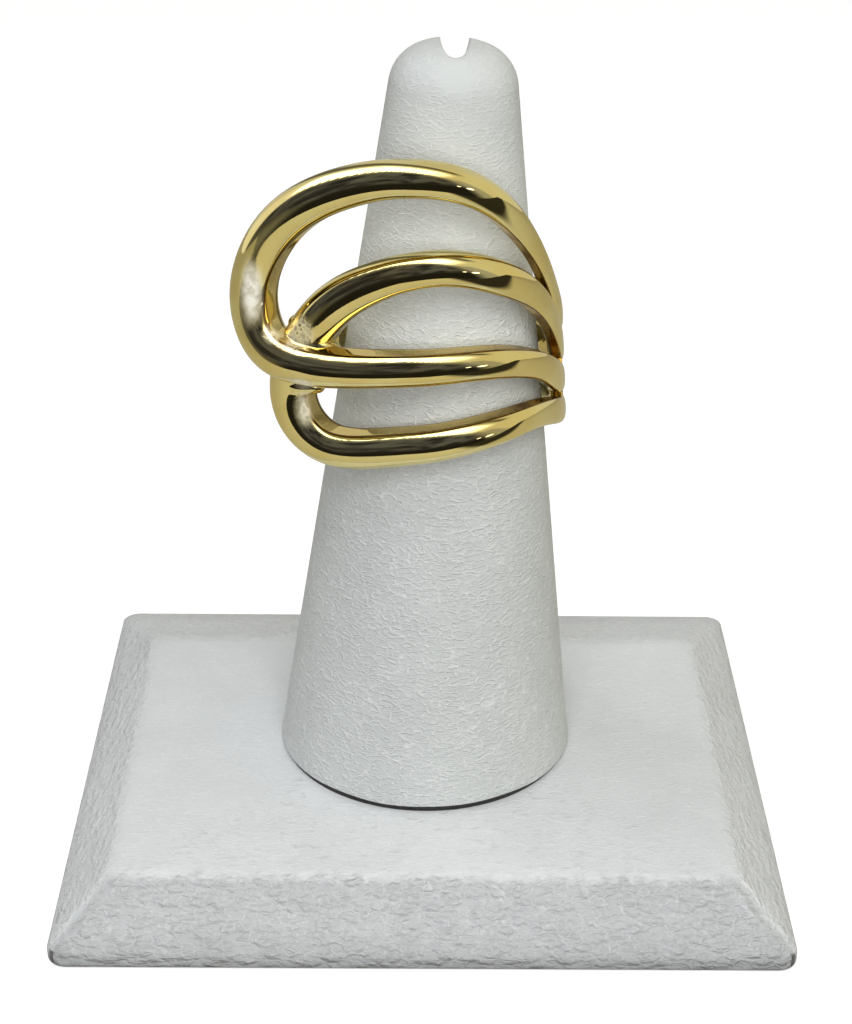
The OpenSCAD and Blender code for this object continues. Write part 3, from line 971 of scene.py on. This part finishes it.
# Turns go to the right from straight ahead and rises go up, in degrees. A pair goes from none to all.
roomSettings = {
    "dark": (0.028, 0.028, 0.038), "grey": (0.11, 0.115, 0.155), "deep": (0.016, 0.015, 0.014),
    "dim": (0.17, 0.17, 0.15), "underStrip": (0.42, 0.42, 0.4), "leftWall": (0.95, 0.93, 0.88),
    "room": (0.74, 0.7, 0.54), "back": (0.66, 0.66, 0.62), "line": (0.14, 0.135, 0.12),
    "seen": (1.0, 1.0, 1.0), "leatherShare": 0.81,
    # the opening in front: its top against the strip's plane, its left edge, and its right edge below
    "openTop": (2.0, -4.0), "openLeft": (-105.0, -97.0),
    "openRight": (66.0, 58.0), "rightLean": 0.6, "rightStart": (-10.0, 10.0), "rightTop": (30.0, 16.0),
    # the left wall's two ends, and the back's
    "leftWallNear": (-97.0, -103.0), "leftWallFar": (-140.0, -128.0),
    "backRight": (100.0, 140.0), "backLeft": (-128.0, -145.0),
    # the dark line over the strip: lower and upper edge above the plane, and end along it
    "lineLow": (27.0, 32.0), "lineHigh": (43.0, 38.0), "lineEnd": (-10.0, -30.0),
    # inside the opening: grey clouds, the deeper dark below, its dim left end, and the light under the strip
    "cloud": (3.2, 3.0), "cloudFade": (0.38, 0.62), "deepFade": (4.0, -14.0), "dimFade": (-46.0, -66.0),
    "underFade": (-17.0, 0.0),
    # the plane of the light strip along the top edge of the opening, and the way along it
    "stripNormal": (0.544, 0.712, 0.445), "stripAhead": (0.643, -0.694, 0.324),
    "stripLow": (-1.0, 1.0), "stripHigh": (25.0, 17.0),
    "stripStart": (-134.0, -126.0), "stripEnd": (-10.0, -45.0),
    "stripGlow": 3.1, "stripLight": 2.3, "bulbs": 43.0, "bulbBite": 6.0,
    # two small lamps past the opening: turn, rise, width, height
    "lamps": [(37.0, -6.0, 2.0, 1.3), (48.0, -9.0, 4.0, 2.6)], "lampGlow": 4.0, "lampFade": (1.4, 0.6),
}


def buildWorld():
    # a pale photo box seen from the ring, open in front, with a slanting light strip over the opening
    s = roomSettings
    world = bpy.data.worlds.new("photoBox")
    bpy.context.scene.world = world
    world.cycles.sampling_method = "NONE"  # the room's light is even enough to need no light map
    world.use_nodes = True
    tree = world.node_tree
    background = tree.nodes["Background"].inputs
    path = put(tree, "ShaderNodeLightPath").outputs
    way = vectorMaths("NORMALIZE", put(tree, "ShaderNodeTexCoord").outputs["Generated"])
    x, y, z = axesOf(way)

    def degrees(value):
        return times(value, 180 / math.pi)

    def leaning(direction):
        return measured("DOT_PRODUCT", way, tuple(direction))

    def colour(values):
        return (*values, 1.0)

    def past(value, name):
        # none at the first value of the named pair, all at the second
        return spread(value, *s[name])

    def over(under, mask, name):
        return mixed(mask, under, colour(s[name]))

    normal = Vector(s["stripNormal"]).normalized()
    ahead = Vector(s["stripAhead"])
    ahead = (ahead - normal * ahead.dot(normal)).normalized()
    turn = degrees(maths("ARCTAN2", x, times(y, -1.0)))
    rise = degrees(maths("ARCSINE", z))
    plane = degrees(maths("ARCSINE", leaning(normal)))
    along = degrees(maths("ARCTAN2", leaning(normal.cross(ahead)), leaning(ahead)))

    inOpening = times(past(plane, "openTop"), past(turn, "openLeft"))
    # the opening reaches further round at the lower right
    rightEdge = plus(turn, times(rise, s["rightLean"]))
    lowRight = times(past(rightEdge, "openRight"), past(turn, "rightStart"), past(rise, "rightTop"))
    inOpening = maths("MAXIMUM", inOpening, lowRight)
    onLeft = times(past(turn, "leftWallNear"), past(turn, "leftWallFar"))
    atBack = plus(past(turn, "backRight"), past(turn, "backLeft"))
    line = times(past(plane, "lineLow"), past(plane, "lineHigh"), past(along, "lineEnd"))
    value = over(over(over(colour(s["room"]), atBack, "back"), onLeft, "leftWall"), line, "line")
    low = past(rise, "deepFade")
    dark = over(colour(s["dark"]), past(noise(way, *s["cloud"]), "cloudFade"), "grey")
    dark = over(dark, low, "deep")
    dark = over(dark, times(low, past(turn, "dimFade")), "dim")
    dark = over(dark, past(plane, "underFade"), "underStrip")
    value = mixed(inOpening, value, dark)
    # the strip is a row of bulbs, so its lower edge is scalloped
    wave = maths("ABSOLUTE", maths("SINE", times(along, s["bulbs"] * math.pi / 180)))
    scalloped = plus(plane, times(wave, s["bulbBite"]))
    strip = times(past(scalloped, "stripLow"), past(plane, "stripHigh"),
                  past(along, "stripStart"), past(along, "stripEnd"))
    # brighter where the metal mirrors it than where it lights the leather
    glow = mixed(path["Is Diffuse Ray"], colour([s["stripGlow"]] * 3), colour([s["stripLight"]] * 3))
    value = mixed(strip, value, glow)
    for lampTurn, lampRise, wide, high in s["lamps"]:
        across = maths("DIVIDE", minus(turn, lampTurn), wide)
        upwards = maths("DIVIDE", minus(rise, lampRise), high)
        away = plus(times(across, across), times(upwards, upwards))
        value = mixed(past(away, "lampFade"), value, colour([s["lampGlow"]] * 3))
    value = over(value, path["Is Camera Ray"], "seen")
    tree.links.new(value, background["Color"])
    tree.links.new(spread(path["Is Diffuse Ray"], 0, 1, 1.0, s["leatherShare"]), background["Strength"])


def buildSoftLights():
    # soft lights in front and at the right, which the metal does not mirror
    for energy, place, size in stageSettings["softLights"]:
        data = bpy.data.lights.new("softLight", "AREA")
        data.shape = "RECTANGLE"
        data.size, data.size_y = metres(size)
        data.energy = energy
        light = bpy.data.objects.new("softLight", data)
        light.visible_glossy = False
        place = Vector(metres(place))
        aim = (Vector(metres(stageSettings["softLightAim"])) - place).to_track_quat("-Z", "Y")
        light.matrix_world = Matrix.Translation(place) @ aim.to_matrix().to_4x4()
        bpy.context.scene.collection.objects.link(light)


# Solved from the finger's and the base plate's outlines in the photograph
cameraSettings = {
    "pitch": 27.333, "yaw": 0.3174, "roll": -0.4997, "place": (-0.858, -178.083, 120.706),
    "lens": 52.307, "sensorHeight": 24.0, "nearest": 5.0,
}


def buildCamera():
    s = cameraSettings
    pitch, yaw, roll = (math.radians(s[key]) for key in ("pitch", "yaw", "roll"))
    ahead = Vector((math.sin(yaw) * math.cos(pitch), math.cos(yaw) * math.cos(pitch), -math.sin(pitch)))
    right = Vector((math.cos(yaw), -math.sin(yaw), 0))
    down = ahead.cross(right)
    turnedRight = right * math.cos(roll) + down * math.sin(roll)
    turnedDown = down * math.cos(roll) - right * math.sin(roll)
    axes = Matrix((turnedRight, -turnedDown, -ahead)).transposed().to_4x4()
    data = bpy.data.cameras.new("photoCamera")
    data.sensor_fit = "VERTICAL"
    data.sensor_height = s["sensorHeight"]
    data.lens = s["lens"]
    data.clip_start = s["nearest"] * mm
    camera = bpy.data.objects.new("photoCamera", data)
    camera.matrix_world = Matrix.Translation(metres(s["place"])) @ axes
    bpy.context.scene.collection.objects.link(camera)
    bpy.context.scene.camera = camera


# Putting it together

print("finishes")
grainTree = leatherGrainTree()
gold = goldFinish()
fingerLeather = fingerFinish(grainTree)
baseLeather = baseFinish(grainTree)

print("ring")
ring = buildRing(gold)
print("  ring faces", len(ring.data.polygons))
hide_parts("ring")
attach(ring, "root")

print("finger")
finger = buildFinger(fingerLeather)
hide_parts("finger_cone")
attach(finger, "root")

print("base plate")
base = buildBase(baseLeather)
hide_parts("base_plate")
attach(base, "root")

print("stage")
buildFloor()
buildWorld()
buildSoftLights()
buildCamera()
bpy.context.scene.view_settings.view_transform = "Standard"
